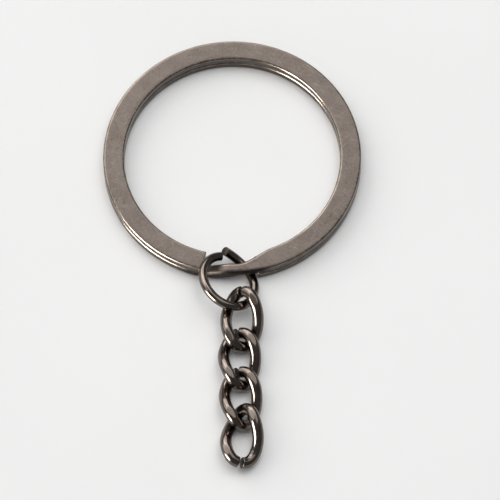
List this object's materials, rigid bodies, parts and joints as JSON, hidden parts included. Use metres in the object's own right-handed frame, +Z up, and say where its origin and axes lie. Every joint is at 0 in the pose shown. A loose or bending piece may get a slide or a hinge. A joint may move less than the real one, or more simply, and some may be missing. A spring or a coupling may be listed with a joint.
{
  "type": "split key ring",
  "caption": "Flat split key ring of dark plated strip with a necked joggle, an open jump ring and a short curb chain of twisted wire links for a charm",
  "frame": {"origin": "centre of the split ring, on the plane that its underside and the chain lie on", "axes": "+Z up out of the flat faces of the ring, -Y along the chain away from the ring, +X across the ring to the side where the strip climbs from the lower turn to the upper"},
  "size_m": [0.03, 0.0539, 0.0042],
  "materials": {
    "strip": "tumbled dark gunmetal plating, satin on the flats and glossy on the walls, worn paler on the edges",
    "jump_wire": "polished dark gunmetal plating with faint drawing marks",
    "chain_wire": "polished dark gunmetal plating, satin on the pressed flats"
  },
  "bodies": {
    "split_ring": {"split_ring": "strip"},
    "jump_ring": {"jump_ring": "jump_wire"},
    "chain_link_1": {"chain_link_1": "chain_wire"},
    "chain_link_2": {"chain_link_2": "chain_wire"},
    "chain_link_3": {"chain_link_3": "chain_wire"},
    "chain_link_4": {"chain_link_4": "chain_wire"}
  },
  "joints": [
    {"name": "jump_ring_roll", "type": "hinge", "parent": "split_ring", "child": "jump_ring", "pos_m": [-0.00112, -0.01426, 0.0011], "axis": [0, 1, 0], "range_deg": [0, 85]},
    {"name": "link_1_swing", "type": "hinge", "parent": "jump_ring", "child": "chain_link_1", "pos_m": [-0.00042, -0.01945, 0.00293], "axis": [0.9117, 0, -0.4108], "range_deg": [-25, 60]},
    {"name": "link_2_swing", "type": "hinge", "parent": "chain_link_1", "child": "chain_link_2", "pos_m": [-0.00029, -0.02369, 0.00198], "axis": [0.6294, -0.5495, -0.5495], "range_deg": [0, 38]},
    {"name": "link_3_swing", "type": "hinge", "parent": "chain_link_2", "child": "chain_link_3", "pos_m": [-0.00015, -0.02864, 0.00196], "axis": [0.6916, -0.3508, -0.6314], "range_deg": [-12, 30]},
    {"name": "link_4_swing", "type": "hinge", "parent": "chain_link_3", "child": "chain_link_4", "pos_m": [0.00038, -0.03361, 0.00155], "axis": [0.7413, 0, -0.6712], "range_deg": [-40, 30]}
  ]
}
